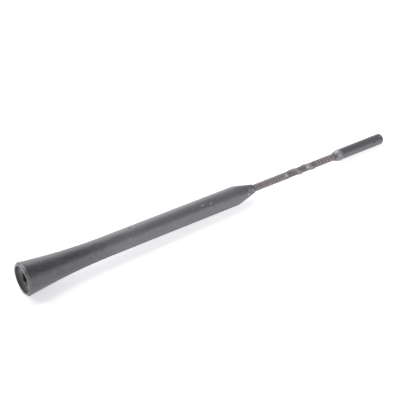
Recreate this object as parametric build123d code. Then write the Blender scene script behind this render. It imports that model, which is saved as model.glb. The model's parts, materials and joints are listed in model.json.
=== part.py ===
from build123d import *

import math
import os

# Lengths of the stretches of the mast, from the rim of its foot to its tip, in millimetres
body_length = 146.0
lower_coil_length = 23.9
link_length = 19.4
upper_coil_length = 14.9
cap_length = 35.8

# Rubber body: flared foot with a recess, long grip and conical nose
rim_radius = 9.35
rim_rounding = 1.0
rim_flats = 2
lip_width = 1.85
recess_depth = 1.6
flare_length = 52.0
grip_radius = 5.67
nose_length = 12.0
nose_wall = 0.7

# Brass insert: a collar flush with the floor of the recess and a hexagon held in the rubber
collar_radius = 4.3
collar_length = 2.0
hexagon_across_flats = 7.2
thread_bore_radius = 2.5
thread_depth = 10.0
insert_web = 3.0
rod_socket_depth = 6.0

# Fibreglass rod that carries the winding
rod_radius = 1.2

# Copper winding: a lead up the rod, a lower coil, an open link of long turns and an upper coil
wire_size = 0.38
coil_depth_in_body = 2.0
coil_depth_in_cap = 2.8
link_turns = 2
link_angle = -52.0
link_lap = 0.5

# Shrunk sleeve, with a ridge where it lies over the turns
sleeve_wall = 0.36
sleeve_depth_in_cap = 14.0
ridge_height = 0.19
ridge_width = 1.3
ridge_root = 0.02
ridge_end_gap = 1.2
lower_ridge_pitch = 2.0
upper_ridge_pitch = 2.45
link_ridge_height = 0.36
link_ridge_width = 1.8

# Tip cap: tapered collar that ends in a low swell, straight barrel and rounded end
cap_mouth_wall = 0.72
cap_swell_radius = 3.5
cap_swell_length = 1.8
cap_radius = 3.23
cap_collar_length = 3.4
cap_end_rounding = 1.9
cap_end_flats = 2

# Glue line between pieces that sit inside one another
bond_line = 0.03

# Stations and radii that follow from the sizes above
shoulder = body_length - nose_length
collar_end = recess_depth + collar_length
thread_end = recess_depth + thread_depth
insert_end = thread_end + insert_web + rod_socket_depth
link_start = body_length + lower_coil_length
link_end = link_start + link_length
cap_mouth = link_end + upper_coil_length
mast_length = cap_mouth + cap_length
sleeve_end = cap_mouth + sleeve_depth_in_cap
rod_start = insert_end - rod_socket_depth
wire_inner_radius = rod_radius + bond_line
wire_outer_radius = wire_inner_radius + wire_size
wire_track_radius = (wire_inner_radius + wire_outer_radius) / 2
sleeve_bore_radius = wire_outer_radius + bond_line
sleeve_radius = sleeve_bore_radius + sleeve_wall
sleeve_socket_radius = sleeve_radius + bond_line
nose_radius = sleeve_socket_radius + nose_wall
cap_mouth_radius = sleeve_socket_radius + cap_mouth_wall
link_pitch = link_length / link_turns


def turned(outline):
    """Revolve a closed half-section, drawn with x as radius and y as the station along the mast."""
    return revolve(Plane.XZ * make_face(outline), Axis.Z)


def rounded(centre, radius, first_angle, last_angle, flats):
    """Points of a rounded corner that is turned as a few short flats."""
    step = (last_angle - first_angle) / flats
    angles = [math.radians(first_angle + step * count) for count in range(flats + 1)]
    return [(centre[0] + radius * math.cos(a), centre[1] + radius * math.sin(a)) for a in angles]


def bar(radius, start, end):
    """A round bar along the mast from one station to another."""
    return Pos(0, 0, start) * Cylinder(radius, end - start, align=(Align.CENTER, Align.CENTER, Align.MIN))


def insert_blank(gap):
    """The outside of the insert, grown by a gap where it is the cavity in the rubber."""
    hexagon = RegularPolygon(hexagon_across_flats / 2 + gap, 6, major_radius=False)
    blank = Pos(0, 0, collar_end) * extrude(hexagon, insert_end - collar_end)
    return blank + bar(collar_radius + gap, recess_depth, collar_end)


def make_mast_body():
    """Rubber moulded round the insert and the foot of the sleeve."""
    lip_radius = rim_radius - lip_width
    rim_centre = (rim_radius - rim_rounding, rim_rounding)
    rim = rounded(rim_centre, rim_rounding, 0, -90, rim_flats)
    grip_start = (grip_radius, flare_length)
    flare = TangentArc(grip_start, rim[0], tangent=(0, -1))
    section = Polyline(
        *rim,
        (lip_radius, 0),
        (lip_radius, recess_depth),
        (0, recess_depth),
        (0, body_length),
        (nose_radius, body_length),
        (grip_radius, shoulder),
        grip_start,
    )
    body = turned(flare + section)
    body -= insert_blank(bond_line)
    body -= bar(sleeve_socket_radius, insert_end, body_length)
    return body


def make_threaded_insert():
    """Brass with a blind hole for the thread in front and a socket for the rod behind."""
    insert = insert_blank(0)
    insert -= bar(thread_bore_radius, recess_depth, thread_end)
    insert -= bar(rod_radius + bond_line, rod_start, insert_end)
    return insert


def make_core_rod():
    """Fibreglass rod from the socket in the insert to the end of the sleeve."""
    return bar(rod_radius, rod_start, sleeve_end)


def coil(start, end):
    """The turns of a coil, as one solid of their outer shape."""
    return bar(wire_outer_radius, start, end) - bar(wire_inner_radius, start, end)


def make_antenna_winding():
    """Lead, lower coil, open link and upper coil in one length of wire."""
    coil_start = body_length - coil_depth_in_body
    coil_end = cap_mouth + coil_depth_in_cap
    lead = extrude(Pos(wire_track_radius, 0) * Rectangle(wire_size, wire_size), coil_start - insert_end)
    slope = math.atan2(link_pitch, 2 * math.pi * wire_track_radius)
    wire = Rectangle(wire_size - 2 * bond_line, wire_size / math.sin(slope))
    path = Helix(link_pitch, link_length + 2 * link_lap, wire_track_radius)
    link = sweep(Pos(wire_track_radius, 0) * wire, path, is_frenet=True)
    lap_angle = 360 * link_lap / link_pitch
    winding = Pos(0, 0, insert_end) * lead + coil(coil_start, link_start) + coil(link_end, coil_end)
    winding += Pos(0, 0, link_start - link_lap) * Rot(0, 0, -lap_angle) * link
    return Rot(0, 0, link_angle) * winding


def ridge(width, height, start, end, turns):
    """A ridge that winds round the sleeve from the angle of the link, over the given turns."""
    root_radius = sleeve_radius - ridge_root
    root_width = width * (1 + ridge_root / height)
    section = Polyline(
        (root_radius, -root_width / 2),
        (root_radius, root_width / 2),
        (sleeve_radius + height, 0),
        close=True,
    )
    path = Helix((end - start) / turns, end - start, sleeve_radius)
    return Pos(0, 0, start) * sweep(Plane.XZ * make_face(section), path, is_frenet=True)


def make_whip_sleeve():
    """Shrunk tube from the insert into the cap, ridged over both coils and over the link."""
    lower_start = body_length + ridge_end_gap
    upper_end = cap_mouth - ridge_end_gap
    lower_turns = (link_start - lower_start) / lower_ridge_pitch
    upper_turns = (upper_end - link_end) / upper_ridge_pitch
    lower_ridge = ridge(ridge_width, ridge_height, lower_start, link_start, lower_turns)
    sleeve = bar(sleeve_radius, insert_end, sleeve_end)
    sleeve += Rot(0, 0, -360 * lower_turns) * lower_ridge
    sleeve += ridge(link_ridge_width, link_ridge_height, link_start, link_end, link_turns)
    sleeve += ridge(ridge_width, ridge_height, link_end, upper_end, upper_turns)
    sleeve -= bar(sleeve_bore_radius, insert_end, sleeve_end)
    return Rot(0, 0, link_angle) * sleeve


def make_tip_cap():
    """Moulded cap glued over the end of the sleeve."""
    end_centre = (cap_radius - cap_end_rounding, mast_length - cap_end_rounding)
    section = Polyline(
        (0, cap_mouth),
        (cap_mouth_radius, cap_mouth),
        (cap_swell_radius, cap_mouth + cap_collar_length),
        (cap_radius, cap_mouth + cap_collar_length + cap_swell_length),
        *rounded(end_centre, cap_end_rounding, 0, 90, cap_end_flats),
        (0, mast_length),
        close=True,
    )
    return turned(section) - bar(sleeve_socket_radius, cap_mouth, sleeve_end)


def resting_place(body, cap):
    """Lay the mast along X on its rim and its cap, with the middle of its footprint at the origin."""
    contact_span = mast_length - cap_end_rounding - rim_rounding
    drop = math.degrees(math.atan2(rim_radius - cap_radius, contact_span))
    laid = Rot(0, 90 + drop, 0)
    box = Compound([laid * body, laid * cap]).bounding_box()
    return Pos(-box.center().X, -box.center().Y, -box.min.Z) * laid


mast_body = make_mast_body()
tip_cap = make_tip_cap()
place = resting_place(mast_body, tip_cap)

nodes = {
    "mast_body": mast_body,
    "threaded_insert": make_threaded_insert(),
    "core_rod": make_core_rod(),
    "antenna_winding": make_antenna_winding(),
    "whip_sleeve": make_whip_sleeve(),
    "tip_cap": tip_cap,
}

os.makedirs("parts", exist_ok=True)
for name, solid in nodes.items():
    export_step(place * solid, f"parts/{name}.step")

rim_plane = Plane(place)
print("rim centre at", rim_plane.origin, "mast points along", rim_plane.z_dir)
print("thread mouth at", rim_plane.from_local_coords((0, 0, recess_depth)))
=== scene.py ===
# %% [markdown]
# # A short car mast aerial
# The mast is a rubber body with a flared foot, a thin whip wound with wire under a shrunk sleeve, and a
# moulded cap on the tip. A threaded brass insert in the foot fastens it to the car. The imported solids
# come in first, as a fixed frame. Every new piece is then modelled in that frame, so nothing has to be
# fitted later.

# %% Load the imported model
import json
import math

import bpy
from mathutils import Matrix, Vector


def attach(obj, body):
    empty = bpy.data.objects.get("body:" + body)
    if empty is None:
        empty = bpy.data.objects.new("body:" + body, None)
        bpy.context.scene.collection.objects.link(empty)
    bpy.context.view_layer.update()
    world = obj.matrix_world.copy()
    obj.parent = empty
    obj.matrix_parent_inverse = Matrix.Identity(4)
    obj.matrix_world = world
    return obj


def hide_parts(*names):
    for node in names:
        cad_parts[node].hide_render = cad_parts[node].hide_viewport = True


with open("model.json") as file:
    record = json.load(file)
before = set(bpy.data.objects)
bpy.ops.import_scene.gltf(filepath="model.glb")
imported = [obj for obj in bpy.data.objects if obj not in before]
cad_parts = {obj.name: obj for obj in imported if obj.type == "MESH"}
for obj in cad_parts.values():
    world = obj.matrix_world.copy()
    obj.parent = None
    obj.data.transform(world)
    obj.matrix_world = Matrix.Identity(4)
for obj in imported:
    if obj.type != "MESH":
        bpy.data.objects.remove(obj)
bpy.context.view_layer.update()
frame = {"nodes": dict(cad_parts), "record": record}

MM = 0.001

# %% [markdown]
# ## The line of the mast
# The mast lies on the rim of its foot and on its cap, so its axis drops a little towards the tip. The
# record's two mounts give that axis: the threaded hole lies on it, and the rim's face stands square to
# it. Each piece is modelled upright, with Z along the mast from the rim, and is then laid down by one
# matrix.

# %% Find the axis and the matrix that lays a piece down
mounts = {mount["name"]: mount for mount in frame["record"]["mounts"]}
mast_axis = -Vector(mounts["thread"]["axis"]).normalized()
thread_point = Vector(mounts["thread"]["pos_m"])
rim_point = Vector(mounts["rim_seat"]["pos_m"])
foot_centre = thread_point - mast_axis * (thread_point - rim_point).dot(mast_axis)
axis_drop = math.atan2(-mast_axis.z, mast_axis.x)
lay_down = Matrix.Translation(foot_centre) @ Matrix.Rotation(math.pi / 2 + axis_drop, 4, "Y")
print("foot at", foot_centre, "axis drops", round(math.degrees(axis_drop), 3), "degrees")

# %% [markdown]
# ## Sizes that pieces share
# Pieces that sit inside one another share a few stations and radii, so those come before any piece. A
# station is a distance along the mast from the plane of the rim. The numbers repeat the sizes of the
# solids, because the script reads nothing but the frame.

# %% Shared stations and radii
body_length = 146.0 * MM
link_start = 169.9 * MM
link_end = 189.3 * MM
cap_mouth = 204.2 * MM
mast_length = 240.0 * MM
insert_end = 20.6 * MM
sleeve_end = 218.2 * MM
sleeve_radius = 2.0 * MM
sleeve_bore = 1.64 * MM
socket_radius = 2.03 * MM
print("whip shows for", round((cap_mouth - body_length) / MM, 1), "mm")

# %% [markdown]
# ## Turning a piece
# Most of the mast is round, so its pieces are turned as on a lathe. A plane is merged to one point, the
# point is extruded along half of the section, and Spin turns the line into a closed skin. Drawing the
# section point by point keeps every radius and rounding exact. The seam and the poles are merged
# afterwards, and the normals are turned outwards.

# %% Turn a section
MERGE_GAP = 0.0005 * MM


def turned(name, section, segments):
    """Extrude a point along a section of (radius, station) pairs and spin it round the Z axis."""
    bpy.ops.object.select_all(action="DESELECT")
    bpy.ops.mesh.primitive_plane_add(size=MM)
    piece = bpy.context.object
    piece.name = name
    piece.data.name = name
    bpy.ops.object.mode_set(mode="EDIT")
    bpy.ops.mesh.select_all(action="SELECT")
    bpy.ops.mesh.merge(type="CENTER")
    bpy.ops.transform.translate(value=(section[0][0], 0, section[0][1]))
    for here, there in zip(section, section[1:]):
        step = (there[0] - here[0], 0, there[1] - here[1])
        bpy.ops.mesh.extrude_region_move(TRANSFORM_OT_translate={"value": step})
    bpy.ops.mesh.select_all(action="SELECT")
    bpy.ops.mesh.spin(steps=segments, angle=2 * math.pi, center=(0, 0, 0), axis=(0, 0, 1))
    bpy.ops.mesh.select_all(action="SELECT")
    bpy.ops.mesh.remove_doubles(threshold=MERGE_GAP)
    bpy.ops.mesh.normals_make_consistent(inside=False)
    bpy.ops.object.mode_set(mode="OBJECT")
    print(name, "is turned from", len(section), "points in", segments, "steps")
    return piece


# %% Points of a section
def arc(centre, radius, first, last, steps):
    """Points of an arc in the section, between two angles in degrees from the radius axis."""
    angles = [math.radians(first + (last - first) * count / steps) for count in range(steps + 1)]
    return [(centre[0] + radius * math.cos(a), centre[1] + radius * math.sin(a)) for a in angles]


def spread(start, end, pitch):
    """Stations from start to end, no further apart than pitch."""
    count = math.ceil((end - start) / pitch)
    return [start + (end - start) * index / count for index in range(count + 1)]


print("stations from 0 to 1, at most 0.3 apart:", spread(0, 1, 0.3))

# %% [markdown]
# ## Reshaping and finishing a piece
# A turned piece is round all over. Where the real one isn't, a function of radius, station and angle moves
# the points in or out, which repeats exactly and needs no sculpting. The piece is then laid along the mast,
# smoothed by angle and hung on the root body, and the solid it stands for is hidden.

# %% Reshape a piece and let it stand for its solid
NEAR = 0.01 * MM


def reshape(piece, new_radius):
    """Move the points of a turned piece in or out, by their radius, station and angle."""
    for point in piece.data.vertices:
        radius = math.hypot(point.co.x, point.co.y)
        if radius > NEAR:
            angle = math.atan2(point.co.y, point.co.x)
            factor = new_radius(radius, point.co.z, angle) / radius
            point.co.x *= factor
            point.co.y *= factor


def turn_between(angle, middle):
    """The turn from a middle angle to another one, from minus half a turn to plus half a turn."""
    return (angle - middle + math.pi) % (2 * math.pi) - math.pi


def finish_piece(piece, node, sharp_degrees):
    """Lay a piece along the mast, smooth it and let it stand for its solid."""
    bpy.ops.object.select_all(action="DESELECT")
    piece.select_set(True)
    bpy.context.view_layer.objects.active = piece
    piece.matrix_world = lay_down
    bpy.ops.object.transform_apply(location=True, rotation=True, scale=True)
    bpy.ops.object.shade_smooth_by_angle(angle=math.radians(sharp_degrees))
    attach(piece, "root")
    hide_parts(node)
    piece.data.calc_loop_triangles()
    print(piece.name, "has", len(piece.data.loop_triangles), "triangles")


# %% [markdown]
# ## The rubber body
# The body is moulded in one shot round the insert and the sleeve. From the foot it has a lip round a
# shallow recess, a bevelled rim, a long flare, a grip that tapers by a hair, a shoulder and a conical
# nose. It could be lofted from circles, but a turned section keeps the bevel, the flare and the shoulder
# exact.

# %% Sizes of the body
rim_radius = 9.35 * MM
rim_rounding = 1.0 * MM
rim_bevel_rounding = 0.3 * MM
lip_radius = 7.5 * MM
lip_rounding = 0.3 * MM
recess_depth = 1.6 * MM
flare_length = 52.0 * MM
grip_foot_radius = 5.77 * MM
grip_nose_radius = 5.56 * MM
grip_step = 2.5 * MM
shoulder = 134.0 * MM
shoulder_rounding = 0.7 * MM
nose_radius = 2.73 * MM
nose_rounding = 0.3 * MM
insert_cavity_radius = 4.33 * MM
print("body is", round(body_length / MM), "mm long,", round(2 * rim_radius / MM, 1), "mm across its rim")

# %% [markdown]
# The flare is one large arc that runs into the grip without an edge, so its centre stands square to the
# start of the grip. The shoulder between grip and nose is a soft corner, drawn as a curve that is pulled
# towards the sharp corner.

# %% Curves of the body
def grip_radius_at(station):
    """Radius of the grip, which tapers from the flare to the shoulder."""
    share = (station - flare_length) / (shoulder - flare_length)
    return grip_foot_radius + (grip_nose_radius - grip_foot_radius) * share


def nose_radius_at(station):
    """Radius of the conical nose."""
    share = (station - shoulder) / (body_length - shoulder)
    return grip_nose_radius + (nose_radius - grip_nose_radius) * share


def flare_points(steps):
    """Points of the large arc from the rim to the grip."""
    rise = rim_radius - grip_foot_radius
    run = flare_length - rim_rounding
    bend = (rise * rise + run * run) / (2 * rise)
    stations = [rim_rounding + run * count / steps for count in range(1, steps + 1)]
    dips = [math.sqrt(bend**2 - (flare_length - station) ** 2) for station in stations]
    return [(grip_foot_radius + bend - dip, station) for dip, station in zip(dips, stations)]


def grip_points(start, end):
    """Points along the straight grip, close enough to keep its shading even beside small details."""
    return [(grip_radius_at(station), station) for station in spread(start, end, grip_step)]


def shoulder_points(steps):
    """A soft corner between grip and nose, as a curve pulled towards the sharp corner."""
    ends = (shoulder - shoulder_rounding, shoulder, shoulder + shoulder_rounding)
    radii = (grip_radius_at(ends[0]), grip_nose_radius, nose_radius_at(ends[2]))
    shares = [count / steps for count in range(steps + 1)]
    weights = [((1 - t) ** 2, 2 * t * (1 - t), t * t) for t in shares]
    return [(sum(map(math.prod, zip(w, radii))), sum(map(math.prod, zip(w, ends)))) for w in weights]


grip_widths = [round(2 * grip_radius_at(station) / MM, 2) for station in (flare_length, shoulder)]
print("grip is", grip_widths, "mm across at its two ends")

# %% [markdown]
# A fine flash line runs round the grip where the two halves of the mould met. It is drawn into the
# section as a narrow step, with a few points beside it so that the shading stays even. At one place the
# flash was torn off and left a small nick, and a few points are pushed in there.

# %% Rim and flash line
flash_station = 66.0 * MM
flash_height = 0.05 * MM
flash_width = 0.45 * MM
flash_shape = ((-3, 0), (-1.2, 0), (-0.5, 0), (-0.25, 1), (0.25, 1), (0.5, 0), (1.2, 0), (3, 0))
flash_points = [
    (grip_radius_at(flash_station) + flash_height * rise, flash_station + flash_width * shift)
    for shift, rise in flash_shape
]
rim_front_radius = rim_radius - rim_rounding
rim_points = [
    *arc((rim_front_radius, rim_bevel_rounding), rim_bevel_rounding, -90, -50, 4),
    *arc((rim_radius - rim_bevel_rounding, rim_rounding), rim_bevel_rounding, -40, 0, 4),
]
print("rim has", len(rim_points), "points and flash line", len(flash_points))

# %% Draw and turn the body
body_section = [
    (insert_cavity_radius, recess_depth),
    (lip_radius - 2 * lip_rounding, recess_depth),
    *arc((lip_radius - lip_rounding, recess_depth - lip_rounding), lip_rounding, 90, 0, 5),
    *arc((lip_radius + lip_rounding, lip_rounding), lip_rounding, 180, 270, 6),
    *rim_points,
    *flare_points(steps=40),
    *grip_points(flare_length + grip_step, flash_station - grip_step),
    *flash_points,
    *grip_points(flash_station + grip_step, shoulder - grip_step),
    *shoulder_points(steps=6),
    *arc((nose_radius - nose_rounding, body_length - nose_rounding), nose_rounding, 15, 90, 6),
    (socket_radius, body_length),
    (socket_radius, insert_end),
    (insert_cavity_radius, insert_end),
    (insert_cavity_radius, recess_depth),
]
rubber_body = turned("rubber_body", body_section, segments=128)

# %% Nick the flash line and finish the body
nick_angle = math.radians(175)
nick_half_turn = math.radians(6)
nick_half_width = 0.6 * flash_width
nick_depth = 0.14 * MM


def nicked(radius, station, angle):
    """A small nick where the flash was torn off."""
    turn = turn_between(angle, nick_angle)
    if abs(station - flash_station) > nick_half_width or abs(turn) > nick_half_turn:
        return radius
    return radius - nick_depth * (1 - (turn / nick_half_turn) ** 2)


reshape(rubber_body, nicked)
finish_piece(rubber_body, "mast_body", sharp_degrees=40)

# %% [markdown]
# ## The brass insert
# The insert is turned from bar: a collar that shows in the foot, a hexagon that the rubber grips, a
# threaded hole in front and a plain socket for the rod behind. It is turned round first. Its points are
# then moved in and out: the outside of the shank becomes a hexagon, and the wall of the hole becomes a
# screw thread. A thread swept along a helix would have to be joined to the hole, and this one grows out
# of its wall.

# %% Turn the insert
collar_radius = 4.3 * MM
collar_length = 2.0 * MM
collar_chamfer = 0.25 * MM
hexagon_half_width = 3.6 * MM
thread_radius = 2.5 * MM
thread_pitch = 1.0 * MM
thread_depth = 10.0 * MM
stations_per_turn = 14
mouth_chamfer = 0.5 * MM
mouth_margin = 0.05 * MM
rod_socket_radius = 1.23 * MM
rod_start = 14.6 * MM
thread_bottom = recess_depth + thread_depth
collar_back = recess_depth + collar_length
hole_wall = spread(recess_depth + mouth_chamfer, thread_bottom, thread_pitch / stations_per_turn)
insert_section = [
    (0, rod_start),
    (rod_socket_radius, rod_start),
    (rod_socket_radius, insert_end),
    (hexagon_half_width, insert_end),
    (hexagon_half_width, collar_back),
    (collar_radius, collar_back),
    (collar_radius, recess_depth + collar_chamfer),
    (collar_radius - collar_chamfer, recess_depth),
    (thread_radius + mouth_chamfer + mouth_margin, recess_depth),
    *[(thread_radius, station) for station in hole_wall],
    (0, thread_bottom),
]
brass_insert = turned("brass_insert", insert_section, segments=96)

# %% Cut the hexagon and the thread
hexagon_side = math.pi / 3
thread_height = 0.5 * MM
groove_half_width = 0.44
bottom_margin = 0.05 * MM


def insert_radius(radius, station, angle):
    """Hexagon on the outside of the shank, thread on the wall of the hole, and the rest as turned."""
    if abs(radius - hexagon_half_width) < NEAR and station > collar_back - NEAR:
        return hexagon_half_width / math.cos((angle % hexagon_side) - hexagon_side / 2)
    if abs(radius - thread_radius) < NEAR and station < thread_bottom - bottom_margin:
        turn = (station / thread_pitch - angle / (2 * math.pi)) % 1
        groove = max(0.0, 1 - abs(turn - 0.5) / groove_half_width)
        run_out = min(1.0, (thread_bottom - station) / thread_pitch)
        return thread_radius + thread_height * groove * run_out
    return radius


reshape(brass_insert, insert_radius)
finish_piece(brass_insert, "threaded_insert", sharp_degrees=35)

# %% [markdown]
# ## The wound whip
# The sleeve was shrunk over the winding, so it shows every turn as a soft ridge. It has three stretches:
# a coil of close turns, an open link where the wire takes a few long steps, and a second, looser coil.
# All three are one right-handed helix whose pitch changes. Hand-wound turns are never quite even, so two
# waves make the helix wander a little.

# %% Path of the wire
lower_pitch = 1.71 * MM
upper_pitch = 2.25 * MM
link_turns = 2
link_lead = 0.1
link_path = (
    (link_start, 0.0),
    (173.2 * MM, 0.42),
    (179.3 * MM, 0.92),
    (182.9 * MM, 1.42),
    (187.3 * MM, 1.92),
    (link_end, link_turns),
)
wander_waves = ((0.05, 1.9 * MM, 0.0), (0.04, 0.83 * MM, 1.1))


def uneven(level, waves, station):
    """A level with waves on it, each with a height, a length and a phase."""
    return sum((height * math.sin(station / length + phase) for height, length, phase in waves), level)


def turns_from_link(station):
    """Turns of the wire between the start of the link and a station, with a small wander."""
    wander = uneven(link_lead, wander_waves, station)
    if station < link_start:
        return (station - link_start) / lower_pitch + wander
    if station > link_end:
        return link_turns + (station - link_end) / upper_pitch + wander
    for (here, turn), (there, next_turn) in zip(link_path, link_path[1:]):
        if station <= there:
            return turn + (next_turn - turn) * (station - here) / (there - here) + wander
    return link_turns + wander


print("lower coil shows", round((link_start - body_length) / lower_pitch, 1), "turns")

# %% [markdown]
# The sleeve is turned with many stations and then pushed out along that helix, which gives one closed
# skin instead of a wire that cuts into a tube. The ridges of the link are higher and sharper than those
# of the coils, and the height of a ridge swells and falls a little. Two small drops of glue hold the ends
# of the open turns.

# %% Height of the ridges
link_angle = math.radians(-52)
coil_ridge = 0.19 * MM
coil_sharpness = 1.1
link_ridge = 0.48 * MM
link_sharpness = 3.2
link_outside = 0.5 * MM
link_inside = 0.9 * MM
ridge_fade = 1.2 * MM
swell_waves = ((0.22, 1.37 * MM, 0.6), (0.12, 0.51 * MM, 0.0))
drop_height = 0.17 * MM
drop_size = 1.0 * MM
drop_angle = math.radians(226)
drop_stations = (168.4 * MM, 183.6 * MM)


def blend(value, start, end):
    """A smooth step from 0 at start to 1 at end."""
    share = min(1.0, max(0.0, (value - start) / (end - start)))
    return share * share * (3 - 2 * share)


def glue_drops(station, angle):
    """Height of the two small drops of glue."""
    side = turn_between(angle, drop_angle) * sleeve_radius
    reach = [math.hypot(station - place, side) / drop_size for place in drop_stations]
    return drop_height * sum(math.exp(-away * away) for away in reach)


def sleeve_ridges(radius, station, angle):
    """Radius of the sleeve over the turns of the wire under it."""
    if radius < (sleeve_bore + sleeve_radius) / 2 or not body_length < station < cap_mouth:
        return radius
    away = ((angle - link_angle) / (2 * math.pi) - turns_from_link(station)) % 1
    crest = 0.5 + 0.5 * math.cos(2 * math.pi * min(away, 1 - away))
    in_link = blend(station, link_start - link_outside, link_start + link_inside)
    in_link *= 1 - blend(station, link_end - link_inside, link_end + link_outside)
    coil = coil_ridge * uneven(1, swell_waves, station) * crest**coil_sharpness
    step = link_ridge * crest**link_sharpness
    ends = blend(station, body_length, body_length + ridge_fade)
    ends *= 1 - blend(station, cap_mouth - ridge_fade, cap_mouth)
    return radius + ends * (coil * (1 - in_link) + step * in_link) + glue_drops(station, angle)


ridge_heights = [round(height / MM, 2) for height in (coil_ridge, link_ridge)]
print("ridges of the coils and of the link are", ridge_heights, "mm high")

# %% Turn the sleeve and raise its ridges
sleeve_step = 0.13 * MM
sleeve_section = [
    (sleeve_radius, insert_end),
    *[(sleeve_radius, station) for station in spread(body_length, cap_mouth, sleeve_step)],
    (sleeve_radius, sleeve_end),
    (sleeve_bore, sleeve_end),
    (sleeve_bore, insert_end),
    (sleeve_radius, insert_end),
]
ridged_sleeve = turned("ridged_sleeve", sleeve_section, segments=72)
reshape(ridged_sleeve, sleeve_ridges)
finish_piece(ridged_sleeve, "whip_sleeve", sharp_degrees=60)

# %% [markdown]
# ## The tip cap
# The cap is moulded and glued over the end of the sleeve. A tapered collar ends in a low swell, and a
# straight barrel runs from there to the rounded end. A fine bead shows where the mould closed near the
# tip, and two small pits beside it were left by the mould's pins. The bead is in the section, and the
# pits are pushed into the turned piece, where the stations are close together.

# %% Sizes of the cap
cap_radius = 3.23 * MM
cap_mouth_radius = 2.75 * MM
mouth_rounding = 0.25 * MM
swell_shape = (
    (207.1, 3.43),
    (207.45, 3.49),
    (207.75, 3.5),
    (208.1, 3.46),
    (208.6, 3.37),
    (209.1, 3.28),
    (209.5, 3.235),
)
barrel_start = 210.0 * MM
barrel_step = 1.4 * MM
bead_station = 231.5 * MM
bead_height = 0.07 * MM
bead_half_width = 0.45 * MM
bead_shares = (-1, -0.6, -0.2, 0.2, 0.6, 1)
pit_zone_end = 235.0 * MM
pit_step = 0.25 * MM
cap_end_rounding = 2.2 * MM
print("cap is", round((mast_length - cap_mouth) / MM, 1), "mm long")

# %% Draw and turn the cap
def barrel_points(start, end, step):
    """Points along the straight barrel."""
    return [(cap_radius, station) for station in spread(start, end, step)]


bead_points = [
    (cap_radius + bead_height * math.cos(math.pi / 2 * share) ** 2, bead_station + bead_half_width * share)
    for share in bead_shares
]
cap_end_centre = (cap_radius - cap_end_rounding, mast_length - cap_end_rounding)
cap_section = [
    (0, sleeve_end),
    (socket_radius, sleeve_end),
    (socket_radius, cap_mouth),
    *arc((cap_mouth_radius - mouth_rounding, cap_mouth + mouth_rounding), mouth_rounding, -90, -12, 6),
    *[(radius * MM, station * MM) for station, radius in swell_shape],
    *barrel_points(barrel_start, bead_station - barrel_step, barrel_step),
    *bead_points,
    *barrel_points(bead_station + 2 * bead_half_width, pit_zone_end, pit_step),
    (cap_radius, pit_zone_end + barrel_step),
    *arc(cap_end_centre, cap_end_rounding, 0, 90, 14),
    (0, mast_length),
]
moulded_cap = turned("moulded_cap", cap_section, segments=96)

# %% Push in the pits and finish the cap
pit_places = ((232.0, 157), (232.0, 237))
pit_size = 0.85 * MM
pit_floor = 0.3
pit_depth = 0.3 * MM


def pitted(radius, station, angle):
    """Two small pits near the tip, with places in millimetres and degrees."""
    depth = 0.0
    for pit_station, pit_degrees in pit_places:
        side = turn_between(angle, math.radians(pit_degrees)) * cap_radius
        away = math.hypot(station - pit_station * MM, side) / pit_size
        depth += pit_depth * (1 - blend(away, pit_floor, 1))
    return radius - depth if radius > cap_radius / 2 else radius


reshape(moulded_cap, pitted)
finish_piece(moulded_cap, "tip_cap", sharp_degrees=40)

# %% [markdown]
# ## Writing shader maths as sums
# A finish is a small calculation on the place of a point. One class wraps a socket, so that sums on
# sockets add Math nodes by themselves, and one method adds any other node.

# %% A socket that can be added and multiplied
class Value:
    """A node's output that can be used in Python sums."""

    def __init__(self, tree, socket):
        self.tree = tree
        self.socket = socket

    def node(self, kind, settings=None, inputs=None, output=0):
        """Add a node, set it up, fill its sockets with values or links, and wrap one output."""
        made = self.tree.nodes.new(kind)
        for name, setting in (settings or {}).items():
            setattr(made, name, setting)
        for name, value in (inputs or {}).items():
            if isinstance(value, Value):
                self.tree.links.new(value.socket, made.inputs[name])
            else:
                made.inputs[name].default_value = value
        return Value(self.tree, made.outputs[output])

    def maths(self, operation, first, second):
        """One Math node."""
        return self.node("ShaderNodeMath", {"operation": operation}, {0: first, 1: second})

    def __add__(self, other):
        return self.maths("ADD", self, other)

    def __radd__(self, other):
        return self.maths("ADD", other, self)

    def __sub__(self, other):
        return self.maths("SUBTRACT", self, other)

    def __rsub__(self, other):
        return self.maths("SUBTRACT", other, self)

    def __mul__(self, other):
        return self.maths("MULTIPLY", self, other)

    def __rmul__(self, other):
        return self.maths("MULTIPLY", other, self)

    def sine(self):
        """One Math node for a wave."""
        return self.node("ShaderNodeMath", {"operation": "SINE"}, {0: self})

    def part(self, axis):
        """The X, Y or Z part of a vector."""
        return self.node("ShaderNodeSeparateXYZ", {}, {0: self}, axis)

    def length(self):
        """The length of a vector."""
        return self.node("ShaderNodeVectorMath", {"operation": "LENGTH"}, {0: self}, 1)

    def between(self, low, high):
        """0 below low, 1 above high, and a smooth step between them."""
        settings = {"interpolation_type": "SMOOTHSTEP"}
        return self.node("ShaderNodeMapRange", settings, {"Value": self, "From Min": low, "From Max": high})


# %% [markdown]
# ## Places on the mast
# All finishes read the same coordinates: the Object coordinates, turned so that X runs along the mast
# from the rim. In that frame a ring is a range of stations or of distances from the axis, and a mark is a
# small ball round a point on the skin, so the patterns need no unwrapping and stay on the piece wherever
# it is used.

# %% Helpers for finishes
def new_finish(name):
    """A material with one Principled shader, and the coordinates along the mast in metres."""
    material = bpy.data.materials.new(name)
    material.use_nodes = True
    tree = material.node_tree
    shader = tree.nodes["Principled BSDF"]
    place = Value(tree, tree.nodes.new("ShaderNodeTexCoord").outputs["Object"])
    turn = {"Vector": place, "Location": foot_centre, "Rotation": (0, axis_drop, 0)}
    return material, shader, place.node("ShaderNodeMapping", {"vector_type": "TEXTURE"}, turn)


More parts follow.
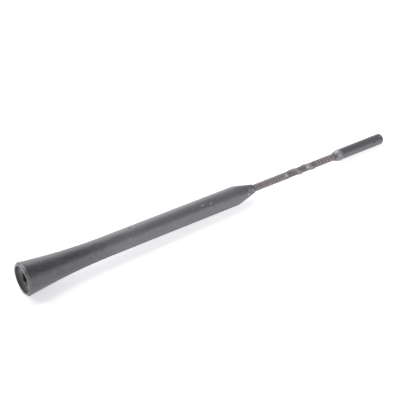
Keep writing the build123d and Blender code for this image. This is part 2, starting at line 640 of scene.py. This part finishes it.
def noise(place, grain, detail, stretch=(1, 1, 1)):
    """Noise whose spots are about one grain across, drawn out by stretch."""
    scale = [1 / (grain * length) for length in stretch]
    moved = place.node("ShaderNodeVectorMath", {"operation": "MULTIPLY"}, {0: place, 1: scale})
    return moved.node("ShaderNodeTexNoise", {}, {"Vector": moved, "Scale": 1.0, "Detail": detail})


def from_middle(place):
    """How far a point stands from the middle line of the mast."""
    return place.node("ShaderNodeVectorMath", {"operation": "MULTIPLY"}, {0: place, 1: (0, 1, 1)}).length()


def ring_between(value, low, high, soft):
    """1 where a value lies between two limits, with soft edges."""
    return value.between(low - soft, low) - value.between(high, high + soft)


def spot(place, station, angle, radius, size):
    """A round mark on the skin, at a station and at an angle from the lowest line of the mast."""
    centre = (station, radius * math.sin(angle), -radius * math.cos(angle))
    away = place.node("ShaderNodeVectorMath", {"operation": "DISTANCE"}, {0: place, 1: centre}, 1)
    return 1 - away.between(size / 2, size)


def mixed(first, second, share):
    """One colour changing into another."""
    first, second = [(*end, 1) if isinstance(end, tuple) else end for end in (first, second)]
    return share.node("ShaderNodeMix", {"data_type": "RGBA"}, {"Factor": share, 6: first, 7: second}, 2)


def dotted(colour, place, dots, dot_colour, strength):
    """A colour with round dots, given by station, degrees, radius and size, with lengths in millimetres."""
    for station, degrees, radius, size in dots:
        dot = spot(place, station * MM, math.radians(degrees), radius * MM, size * MM)
        colour = mixed(colour, dot_colour, dot * strength)
    return colour


def bumpy(height, strength, distance):
    """A Bump node that feeds Normal."""
    return height.node("ShaderNodeBump", {}, {"Strength": strength, "Distance": distance, "Height": height})


def connect(shader, **sockets):
    """Link values to the sockets of a shader."""
    for name, value in sockets.items():
        value.tree.links.new(value.socket, shader.inputs[name.replace("_", " ")])


# %% [markdown]
# ## Moulded rubber
# Black rubber on a white table is not black: it has a grey bloom and a soft, broad sheen. The finish mixes a
# dark and a pale grey by slow noise, drawn out a little along the mast, and it is paler on the grip and the
# nose. A fine grain from the mould goes into the bump. Dust lies in the recess of the foot, with painted
# shade low down in it, and a few pale specks of lint lie all over. The cap has the same kind of skin, so it
# shares this finish with greys of its own.

# %% Bloom, dust and painted shade
bloom_grain = 7 * MM
bloom_stretch = (3, 1, 1)
mottle_grain = 1.3 * MM
mottle_stretch = (1.6, 1, 1)
skin_grain = 0.22 * MM
skin_bump = 0.06 * MM
patch_grain = 2.6 * MM
speck_grain = 0.55 * MM
grip_fade = (25 * MM, 68 * MM)
nose_fade = (130 * MM, 138 * MM)
recess_edge = (7.35 * MM, 7.6 * MM)
recess_back = (1.7 * MM, 2.3 * MM)
recess_low_side = (-5 * MM, 2 * MM)
recess_dust = (0.096, 0.091, 0.077)
recess_painted_shade = (0.022, 0.021, 0.018)
speck_grey = (0.32, 0.32, 0.32)
mark_and_highlight_grey = (0.52, 0.52, 0.53)
# painted shade inside the pits
pit_painted_shade = (0.012, 0.012, 0.013)


def rubber_paleness(along, bloom, mottle):
    """From 0 to 1: patches of bloom, and more on the grip and on the nose."""
    # paler along the grip and on the nose
    paler_along = along.between(*grip_fade) * 0.6 + along.between(*nose_fade) * 0.25
    return (bloom * 0.6 + mottle * 0.7 + paler_along - 0.43).between(0, 1)


def with_recess_dust_and_shade(colour, place, along, mottle):
    """Brownish dust in the recess of the foot, and painted shade on its low side."""
    recess = (1 - from_middle(place).between(*recess_edge)) * (1 - along.between(*recess_back))
    low_side = 1 - place.part("Z").between(*recess_low_side)
    colour = mixed(colour, recess_dust, recess * (0.4 + mottle * 0.6))
    # painted shade: the low side of the recess is darkened almost to black
    return mixed(colour, recess_painted_shade, recess * low_side * 0.45)


def rubber_finish(name, dark, pale, worn_and_lit_grey, rough, marks, pits, worn_and_lit_edges):
    """Moulded rubber with bloom, grain, specks, pale marks and painted highlights, pits painted near black
    as shade, and pale edges from wear and painted highlights.
    """
    material, shader, place = new_finish(name)
    along = place.part("X")
    bloom = noise(place, bloom_grain, 4.0, bloom_stretch)
    mottle = noise(place, mottle_grain, 3.0, mottle_stretch)
    grain = noise(place, skin_grain, 2.0)
    colour = mixed(dark, pale, rubber_paleness(along, bloom, mottle))
    colour = with_recess_dust_and_shade(colour, place, along, mottle)
    patchy = noise(place, patch_grain, 2.0).between(0.36, 0.66)
    # painted highlight on the rim's bevel and the cap's collar, and real wear at the end of the nose
    colour = mixed(colour, worn_and_lit_grey, worn_and_lit_edges(place) * (0.15 + patchy * 0.7))
    specks = noise(place, speck_grain, 1.0).between(0.745, 0.775)
    colour = mixed(colour, speck_grey, specks * 0.6)
    # pale dots: specks and flecks on the body, painted highlights on the cap
    colour = dotted(colour, place, marks, mark_and_highlight_grey, 0.75)
    # pits painted near black, as the shade inside them
    colour = dotted(colour, place, pits, pit_painted_shade, 1.0)
    normal = bumpy(grain * 0.6 + mottle * 0.4, 0.4, skin_bump)
    connect(shader, Base_Color=colour, Roughness=rough + bloom * 0.1 + grain * 0.08, Normal=normal)
    return material, shader


grains = [round(grain / MM, 2) for grain in (bloom_grain, mottle_grain, skin_grain)]
print("bloom, mottle and skin have spots of", grains, "mm")

# %% [markdown]
# ## Worn edges and painted highlights
# Both edges of the rim's bevel are painted pale as a highlight, strongest at the top, the end of the nose is
# scuffed, and the collar and swell of the cap are painted pale all round as a highlight. A pale edge could
# be found by how sharply the skin bends, but here each edge has a known place, so a mask that follows it is
# steadier.

# %% Masks for worn edges and painted highlights
# where the painted highlight on the rim is strongest, at its top
rim_highlight_spot = (0.5 * MM, math.radians(197), 8.7 * MM, 7 * MM)
bevel_front = (rim_front_radius - 0.05 * MM, rim_front_radius + 0.15 * MM)
bevel_front_fade = (0.3 * MM, 0.5 * MM)
bevel_soft = 0.25 * MM
bevel_back = (rim_rounding - 0.15 * MM, rim_rounding + 0.05 * MM)
nose_end = (body_length - 0.7 * MM, body_length + 0.2 * MM)
collar_fade = (208.2 * MM, 209.6 * MM)
swell_crest = (3.38 * MM, 3.5 * MM)
edge_soft = 0.5 * MM


def foot_edges(place):
    """The two edges of the bevel round the rim, painted pale as a highlight that is strongest at the top,
    and the scuffed end of the nose.
    """
    along = place.part("X")
    top = spot(place, *rim_highlight_spot)
    front = ring_between(from_middle(place), *bevel_front, bevel_soft)
    front = front * (1 - along.between(*bevel_front_fade))
    back = ring_between(along, *bevel_back, edge_soft) * 0.7
    scuffed = ring_between(along, *nose_end, edge_soft) * 0.8
    # painted highlight on both edges of the bevel, strongest at the top; the nose end is real scuffing
    return front * top * 1.25 + back * (0.2 + top * 1.05) + scuffed


def collar_edges(place):
    """The mouth and the swell of the cap, painted pale all round as a highlight."""
    collar = 1 - place.part("X").between(*collar_fade)
    # painted highlight: the collar and the crest of the swell are paler
    return collar * 1.9 + from_middle(place).between(*swell_crest) * 0.4


# the pale collar is a painted highlight
print("collar is rubbed pale over", round((collar_fade[0] - cap_mouth) / MM, 1), "mm")

# %% [markdown]
# ## Small marks
# Larger pale marks and dark pits are few on the real mast, so they are placed one by one instead of by
# noise, and so are a few painted highlights on the cap. The pits are painted near black, as the shade inside
# them. Each is given by its station and radius in millimetres, its angle in degrees from the lowest line,
# and its size in millimetres. The largest pit of the body lies at the nick of the flash line, and those of
# the cap lie in the two pits that were pushed in.

# %% Marks and pits
body_marks = (
    (110.0, 209, 5.62, 0.75),
    (115.1, 216, 5.61, 0.7),
    (62.3, 237, 5.74, 0.45),
    (140.5, 258, 4.02, 0.8),
    (141.8, 229, 3.73, 0.8),
    (144.4, 239, 3.1, 0.7),
    (142.5, 213, 3.55, 0.5),
    (143.9, 225, 3.23, 0.5),
)
body_pits = (
    (144.2, 268, 3.15, 0.6),
    (142.4, 262, 3.57, 0.5),
    (140.7, 228, 3.98, 0.45),
    (136.0, 214, 5.09, 0.45),
    (144.5, 223, 3.09, 0.45),
    (65.4, 174, 5.74, 0.95),
)
# painted highlights on the cap, near its end and on its collar
cap_painted_highlights = ((237.4, 202, 3.23, 0.75), (205.6, 182, 3.06, 0.7), (206.5, 236, 3.27, 0.9))
cap_pit_radius = 3.2
cap_pits = [(station, degrees, cap_pit_radius, pit_size / MM) for station, degrees in pit_places]
print(len(body_marks + cap_painted_highlights), "pale marks and", len(body_pits) + len(cap_pits), "dark pits")

# %% Rubber on the body and the cap
body_dark = (0.058, 0.057, 0.0627)
body_pale = (0.168, 0.165, 0.182)
body_roughness = 0.28
# wear on the nose end and a painted highlight on the rim's bevel
rim_wear_and_highlight_grey = (0.27, 0.266, 0.28)
cap_dark = (0.06, 0.059, 0.065)
cap_pale = (0.132, 0.13, 0.143)
cap_roughness = 0.2
# painted highlight on the cap's collar and swell
collar_highlight_grey = (0.32, 0.315, 0.334)
body_rubber, body_shader = rubber_finish(
    "body_rubber", body_dark, body_pale, rim_wear_and_highlight_grey, body_roughness, body_marks, body_pits, foot_edges
)
body_shader.inputs["Specular IOR Level"].default_value = 0.8
cap_plastic, cap_shader = rubber_finish(
    "cap_plastic", cap_dark, cap_pale, collar_highlight_grey, cap_roughness, cap_painted_highlights, cap_pits, collar_edges
)
cap_shader.inputs["Specular IOR Level"].default_value = 0.9
rubber_body.data.materials.append(body_rubber)
moulded_cap.data.materials.append(cap_plastic)
print("finishes", body_rubber.name, cap_plastic.name)

# %% [markdown]
# ## Shrunk sleeve
# The sleeve is a thin brownish-grey plastic, tight over the wire. Its ridges are painted paler as a
# highlight and its valleys are left darker as painted shade, so the finish reads how far a point stands from
# the axis. One turn of the lower coil is paler than the rest, the high turns of the link carry the brightest
# painted highlight, and two drops of clear glue show at the ends of the link.

# %% Sleeve finish
sleeve_brown = (0.178, 0.153, 0.162)
ridge_grey = (0.38, 0.34, 0.354)
glue_glint_pale = (0.64, 0.61, 0.62)
glue_size = 1.1 * MM
sleeve_mottle = 0.9 * MM
sleeve_grain = 0.16 * MM
high_turn_rise = 0.12 * MM
bright_turn_ends = (152.8 * MM, 153.1 * MM)
bright_step_rise = (179 * MM, 182 * MM)
stretch_fade = 1 * MM


def sleeve_finish():
    """Brown-grey plastic, with a painted highlight on the ridges and painted shade between them."""
    material, shader, place = new_finish("sleeve_plastic")
    along = place.part("X")
    from_axis = from_middle(place)
    mottle = noise(place, sleeve_mottle, 3.0)
    grain = noise(place, sleeve_grain, 2.0)
    crest = from_axis.between(sleeve_radius, sleeve_radius + coil_ridge)
    high_turn = from_axis.between(sleeve_radius + high_turn_rise, sleeve_radius + link_ridge)
    in_upper = along.between(link_end - stretch_fade, link_end + stretch_fade)
    only_link = along.between(link_start - stretch_fade, link_start + stretch_fade) - in_upper
    bright_turn = ring_between(along, *bright_turn_ends, edge_soft)
    # painted highlight: the ridge crests and the high turns of the link are paler
    share = crest * (0.45 - only_link * 0.28) + mottle * 0.7 + bright_turn * 0.3 - 0.15
    share = share + only_link * high_turn * (0.5 + 0.1 * along.between(*bright_step_rise)) + in_upper * 0.06
    drops = 0.0
    for station in drop_stations:
        drops = drops + spot(place, station, drop_angle, sleeve_radius + drop_height, glue_size)
    colour = mixed(sleeve_brown, ridge_grey, share.between(0, 1))
    # painted glint on the two glue drops
    colour = mixed(colour, glue_glint_pale, drops * 0.85)
    rough = 0.5 - crest * 0.12 + grain * 0.1 - drops * 0.25
    connect(shader, Base_Color=colour, Roughness=rough, Normal=bumpy(grain, 0.3, 0.04 * MM))
    return material


sleeve_plastic = sleeve_finish()
ridged_sleeve.data.materials.append(sleeve_plastic)
print("finish", sleeve_plastic.name)

# %% [markdown]
# ## Brass, copper and fibreglass
# The insert is turned brass, coloured a very dark brown-grey in patches, and fine rings from the lathe catch
# the light. The winding and the rod are sealed inside, but they get true finishes too: enamelled copper with
# a fine line for each turn, and cream fibreglass with its strands running along the rod. Their solids have
# the right shape, so they stay and only take these finishes.

# %% Metal and rod finishes
brass_dark_patch = (0.036, 0.033, 0.028)
brass_light_patch = (0.072, 0.066, 0.055)
brass_patch_grain = 1.6 * MM
lathe_ring = 0.22 * MM
copper_dark = (0.38, 0.13, 0.06)
copper_pale = (0.8, 0.4, 0.22)
copper_grain = 3 * MM
wire_size = 0.38 * MM
resin_dark = (0.52, 0.47, 0.33)
resin_pale = (0.8, 0.77, 0.64)
strand_size = 0.12 * MM
strand_stretch = (60, 1, 1)


def brass_finish():
    """Dull turned brass with lathe rings."""
    material, shader, place = new_finish("insert_brass")
    brass_patches = noise(place, brass_patch_grain, 4.0)
    rings = (from_middle(place) * (2 * math.pi / lathe_ring)).sine()
    # patches of very dark brown-grey
    colour = mixed(brass_dark_patch, brass_light_patch, brass_patches.between(0.3, 0.7))
    connect(shader, Base_Color=colour, Roughness=0.28 + brass_patches * 0.25, Normal=bumpy(rings, 0.15, 0.01 * MM))
    shader.inputs["Metallic"].default_value = 1.0
    return material


def copper_finish():
    """Enamelled copper wire, with a dark line between its turns."""
    material, shader, place = new_finish("winding_copper")
    turns = (place.part("X") * (2 * math.pi / wire_size)).sine()
    tint = noise(place, copper_grain, 2.0)
    colour = mixed(copper_dark, copper_pale, (turns * 0.3 + tint * 0.5 + 0.2).between(0, 1))
    connect(shader, Base_Color=colour, Roughness=0.2 + tint * 0.2, Normal=bumpy(turns, 0.6, 0.08 * MM))
    shader.inputs["Metallic"].default_value = 1.0
    return material


def fibreglass_finish():
    """Cream rod with strands along it."""
    material, shader, place = new_finish("rod_fibreglass")
    strands = noise(place, strand_size, 3.0, strand_stretch)
    colour = mixed(resin_dark, resin_pale, strands.between(0.3, 0.7))
    connect(shader, Base_Color=colour, Roughness=0.35 + strands * 0.2, Normal=bumpy(strands, 0.2, 0.03 * MM))
    return material


brass_insert.data.materials.append(brass_finish())
for node, finish in (("antenna_winding", copper_finish()), ("core_rod", fibreglass_finish())):
    solid = frame["nodes"][node]
    solid.data.materials.clear()
    solid.data.materials.append(finish)
    print(node, "has finish", finish.name)

# %% [markdown]
# ## White table
# The mast lies on a white table that keeps its soft shadow. A floor lit until it looks white would bleach
# the mast too, so the floor is plain and pale, and it glows only in rays from the camera or from a shiny
# The glow is weakest by the foot and strongest by the tip, which paints the shadow deeper by the foot and
# fainter by the tip, and it evens out away from the mast. In mirror rays a strip under the mast is painted
# dark, as the shade of the table there.

# %% Floor
floor_size = 6.0
floor_colour = (0.785, 0.79, 0.815)
bpy.ops.object.select_all(action="DESELECT")
bpy.ops.mesh.primitive_plane_add(size=floor_size)
floor = bpy.context.object
floor.name = "floor"
floor_white = bpy.data.materials.new("floor_white")
floor_white.use_nodes = True
floor_tree = floor_white.node_tree
floor_shader = floor_tree.nodes["Principled BSDF"]
floor_shader.inputs["Base Color"].default_value = (*floor_colour, 1)
floor_shader.inputs["Roughness"].default_value = 0.9
floor_shader.inputs["Specular IOR Level"].default_value = 0.1
floor.data.materials.append(floor_white)
print("floor", floor_size, "m across")

# %% Glow of the floor
camera_glow = 0.528
# Each step of the glow: where it starts and ends along the mast, in millimetres, and how much it adds
glow_steps = ((-116, -84, 0.08), (-40, 20, 0.04), (60, 90, 0.09))
far_glow = 0.3
far_from_mast = (300 * MM, 700 * MM)
mirror_glow = 0.85
strip_shade = 0.7
strip_front = (-4 * MM, -1.5 * MM)
strip_back = (5 * MM, 12 * MM)
strip_half_length = 119 * MM
strip_end_fade = 5 * MM
body_strip_shift = 3 * MM
body_strip_fade = (0.0, 60 * MM)
floor_place = Value(floor_tree, floor_tree.nodes.new("ShaderNodeTexCoord").outputs["Object"])
floor_along = floor_place.part("X")
floor_across = floor_place.part("Y")
glow = camera_glow + floor_place.length().between(*far_from_mast) * far_glow
for start, end, rise in glow_steps:
    glow = glow + floor_along.between(start * MM, end * MM) * rise
strip = floor_across + body_strip_shift * (1 - floor_along.between(*body_strip_fade))
strip = strip.between(*strip_front) - floor_across.between(*strip_back)
strip = strip * ring_between(floor_along, -strip_half_length, strip_half_length, strip_end_fade)
rays = floor_tree.nodes.new("ShaderNodeLightPath").outputs
mirrored = Value(floor_tree, rays["Is Glossy Ray"]) + Value(floor_tree, rays["Is Transmission Ray"])
# painted shadow: less glow by the foot, and a dark strip under the mast in mirror rays
seen = Value(floor_tree, rays["Is Camera Ray"]) * glow + mirrored * (mirror_glow - strip * strip_shade)
connect(floor_shader, Emission_Color=mixed((0, 0, 0), (1, 1, 1), seen))
floor_shader.inputs["Emission Strength"].default_value = 1.0
print("floor shader has", len(floor_tree.nodes), "nodes")

# %% [markdown]
# ## Sky and lamps
# The light is soft and comes from all round, as in a light tent. The sky is bright at the horizon and
# dark overhead, which gives the rubber its long dark band. It is dim on the right-hand side and on the
# far left too, so that the nose, the tip and the rim don't shine. Five soft lamps shape the rest: one
# high above, one behind, two in front, and one behind the foot for the upper edge.

# %% Sky
sky_colour = (0.96, 0.957, 1.0)
horizon_strength = 1.4
overhead_loss = 1.18
right_share = 0.78
left_share = 0.6
overhead_fade = (0.0, 0.65)
right_fade = (0.52, 0.68)
left_fade = (-0.92, -0.7)
sky = bpy.data.worlds.new("white_sky")
sky.use_nodes = True
background = sky.node_tree.nodes["Background"]
background.inputs["Color"].default_value = (*sky_colour, 1)
sky_place = Value(sky.node_tree, sky.node_tree.nodes.new("ShaderNodeTexCoord").outputs["Generated"])
overhead = sky_place.part("Z").between(*overhead_fade)
right_side = sky_place.part("X").between(*right_fade)
far_left = 1 - sky_place.part("X").between(*left_fade)
sky_strength = (horizon_strength - overhead_loss * overhead) * (1 - right_share * right_side)
sky_strength = sky_strength * (1 - left_share * far_left)
connect(background, Strength=sky_strength)
bpy.context.scene.world = sky
print("sky", sky.name)

# %% Lamps
# Name, azimuth and elevation in degrees, distance and size in metres, and power in watts
lamps = (
    ("key_light", 186, 68, 1.4, (0.6, 0.5), 5.8),
    ("back_light", 164, 36, 1.3, (0.75, 1.0), 4.6),
    ("front_light", 25, 17, 1.3, (0.3, 0.85), 1.4),
    ("fill_light", -48, 18, 1.3, (1.1, 0.7), 3.5),
    ("rim_light", -136, 28, 1.3, (0.5, 0.4), 5.0),
)


def towards(azimuth, elevation):
    """Direction from the mast to a point round it. Azimuth 0 is in front, elevation is above the table."""
    a = math.radians(azimuth)
    e = math.radians(elevation)
    return Vector((math.sin(a) * math.cos(e), -math.cos(a) * math.cos(e), math.sin(e)))


def soft_light(name, azimuth, elevation, distance, size, power):
    """A soft rectangular light that looks at the mast."""
    light = bpy.data.lights.new(name, "AREA")
    light.shape = "RECTANGLE"
    light.size, light.size_y = size
    light.energy = power
    lamp = bpy.data.objects.new(name, light)
    bpy.context.scene.collection.objects.link(lamp)
    lamp.location = towards(azimuth, elevation) * distance
    lamp.rotation_euler = towards(azimuth, elevation).to_track_quat("Z", "Y").to_euler()
    print(name, "at", [round(x, 2) for x in lamp.location])


for lamp_setting in lamps:
    soft_light(*lamp_setting)

# %% [markdown]
# ## Camera
# The camera stands where the photograph was taken from: to the left of the foot, about forty degrees
# above the table, so that the end of the foot shows as a narrow ellipse. It has a long lens, because the
# mast's width shrinks only a little towards the tip.

# %% Camera
camera_azimuth = -33.45
camera_elevation = 38.89
camera_distance = 745.5 * MM
camera_aim = Vector((-4.33, 7.90, 5.64)) * MM
camera_data = bpy.data.cameras.new("camera")
camera_data.lens = 120.0
camera_data.sensor_width = 36.0
camera_data.sensor_fit = "HORIZONTAL"
camera = bpy.data.objects.new("camera", camera_data)
bpy.context.scene.collection.objects.link(camera)
camera.location = camera_aim + towards(camera_azimuth, camera_elevation) * camera_distance
camera.rotation_euler = towards(camera_azimuth, camera_elevation).to_track_quat("Z", "Y").to_euler()
bpy.context.scene.camera = camera
bpy.context.scene.view_settings.view_transform = "Standard"
print("camera at", [round(x, 4) for x in camera.location])
